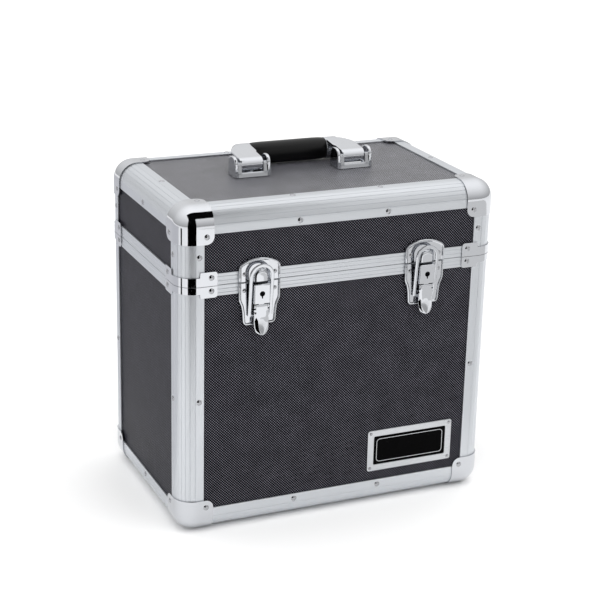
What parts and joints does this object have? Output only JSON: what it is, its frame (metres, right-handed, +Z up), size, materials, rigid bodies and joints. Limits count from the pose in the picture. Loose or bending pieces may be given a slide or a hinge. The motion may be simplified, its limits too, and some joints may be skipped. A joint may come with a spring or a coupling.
{
  "type": "record carrying case",
  "caption": "Upright carrying case for records: laminated panels in rounded aluminium edge profiles, hinged lid, two lockable draw latches and a folding top handle.",
  "frame": {"origin": "Centre of the footprint on the floor, under the four base corner caps.", "axes": "X is the width, left to right as seen from the latches. Y is the depth, from the latches to the hinges. Z is up."},
  "size_m": [0.365, 0.2502, 0.3796],
  "materials": {
    "laminate": "satin embossed plastic laminate on plywood, fine raised diamond dots",
    "profile": "satin natural anodised extrusion with fine lengthwise grooves",
    "chrome": "bright nickel or chrome plated pressed steel",
    "rivet": "plated steel dome rivets and pins",
    "lock_steel": "dull steel lock parts",
    "hinge_steel": "plated steel hinge leaves",
    "grip": "satin black moulded plastic",
    "plate_metal": "fine brushed silver plate",
    "plate_black": "black insert, bare, with a thin silver line",
    "foam": "dark grey closed-cell foam pad"
  },
  "bodies": {
    "body": {"body_front_panel": "laminate", "body_back_panel": "laminate", "body_left_panel": "laminate", "body_right_panel": "laminate", "body_base_panel": "laminate", "body_corner_posts": "profile", "base_edge_profiles": "profile", "body_rim_profiles": "profile", "base_corner_caps": "chrome", "body_seam_brackets": "chrome", "body_rivets": "rivet", "floor_foam": "foam", "left_latch_base": "chrome", "left_latch_pin": "rivet", "right_latch_base": "chrome", "right_latch_pin": "rivet", "latch_base_rivets": "rivet", "nameplate_frame": "plate_metal", "nameplate_insert": "plate_black", "nameplate_rivets": "rivet", "left_hinge_body_leaf": "hinge_steel", "left_hinge_pin": "rivet", "right_hinge_body_leaf": "hinge_steel", "right_hinge_pin": "rivet", "hinge_body_rivets": "rivet"},
    "lid": {"lid_front_panel": "laminate", "lid_back_panel": "laminate", "lid_left_panel": "laminate", "lid_right_panel": "laminate", "lid_top_panel": "laminate", "lid_corner_posts": "profile", "top_edge_profiles": "profile", "lid_rim_profiles": "profile", "top_corner_caps": "chrome", "lid_seam_brackets": "chrome", "lid_rivets": "rivet", "lid_foam": "foam", "left_latch_keeper": "chrome", "right_latch_keeper": "chrome", "keeper_rivets": "rivet", "left_handle_bracket": "chrome", "left_handle_pin": "rivet", "right_handle_bracket": "chrome", "right_handle_pin": "rivet", "handle_screws": "rivet", "left_hinge_lid_leaf": "hinge_steel", "right_hinge_lid_leaf": "hinge_steel", "hinge_lid_rivets": "rivet"},
    "handle": {"handle_grip": "grip", "left_handle_arm": "chrome", "right_handle_arm": "chrome"},
    "left_lever": {"left_latch_lever": "chrome"},
    "left_ring": {"left_latch_ring": "chrome"},
    "left_lock": {"left_lock_rotor": "lock_steel"},
    "right_lever": {"right_latch_lever": "chrome"},
    "right_ring": {"right_latch_ring": "chrome"},
    "right_lock": {"right_lock_rotor": "lock_steel"}
  },
  "joints": [
    {"name": "lid_hinge", "type": "hinge", "parent": "body", "child": "lid", "pos_m": [0, 0.1192, 0.2758], "axis": [-1, 0, 0], "range_deg": [0, 100]},
    {"name": "handle_fold", "type": "hinge", "parent": "lid", "child": "handle", "pos_m": [0, 0, 0.3673], "axis": [1, 0, 0], "range_deg": [0, 90]},
    {"name": "left_latch_lift", "type": "hinge", "parent": "body", "child": "left_lever", "pos_m": [-0.0945, -0.1212, 0.2505], "axis": [-1, 0, 0], "range_deg": [0, 95]},
    {"name": "left_ring_swing", "type": "hinge", "parent": "left_lever", "child": "left_ring", "pos_m": [-0.0945, -0.1186, 0.2408], "axis": [-1, 0, 0], "range_deg": [-110, 0]},
    {"name": "left_lock_turn", "type": "hinge", "parent": "body", "child": "left_lock", "pos_m": [-0.0945, -0.12, 0.2646], "axis": [0, 1, 0], "range_deg": [0, 180]},
    {"name": "right_latch_lift", "type": "hinge", "parent": "body", "child": "right_lever", "pos_m": [0.0945, -0.1212, 0.2505], "axis": [-1, 0, 0], "range_deg": [0, 95]},
    {"name": "right_ring_swing", "type": "hinge", "parent": "right_lever", "child": "right_ring", "pos_m": [0.0945, -0.1186, 0.2408], "axis": [-1, 0, 0], "range_deg": [-110, 0]},
    {"name": "right_lock_turn", "type": "hinge", "parent": "body", "child": "right_lock", "pos_m": [0.0945, -0.12, 0.2646], "axis": [0, 1, 0], "range_deg": [0, 180]}
  ],
  "couplings": [
    {"joint": "left_ring_swing", "follows": "left_latch_lift", "ratio": -1.1},
    {"joint": "right_ring_swing", "follows": "right_latch_lift", "ratio": -1.1}
  ]
}
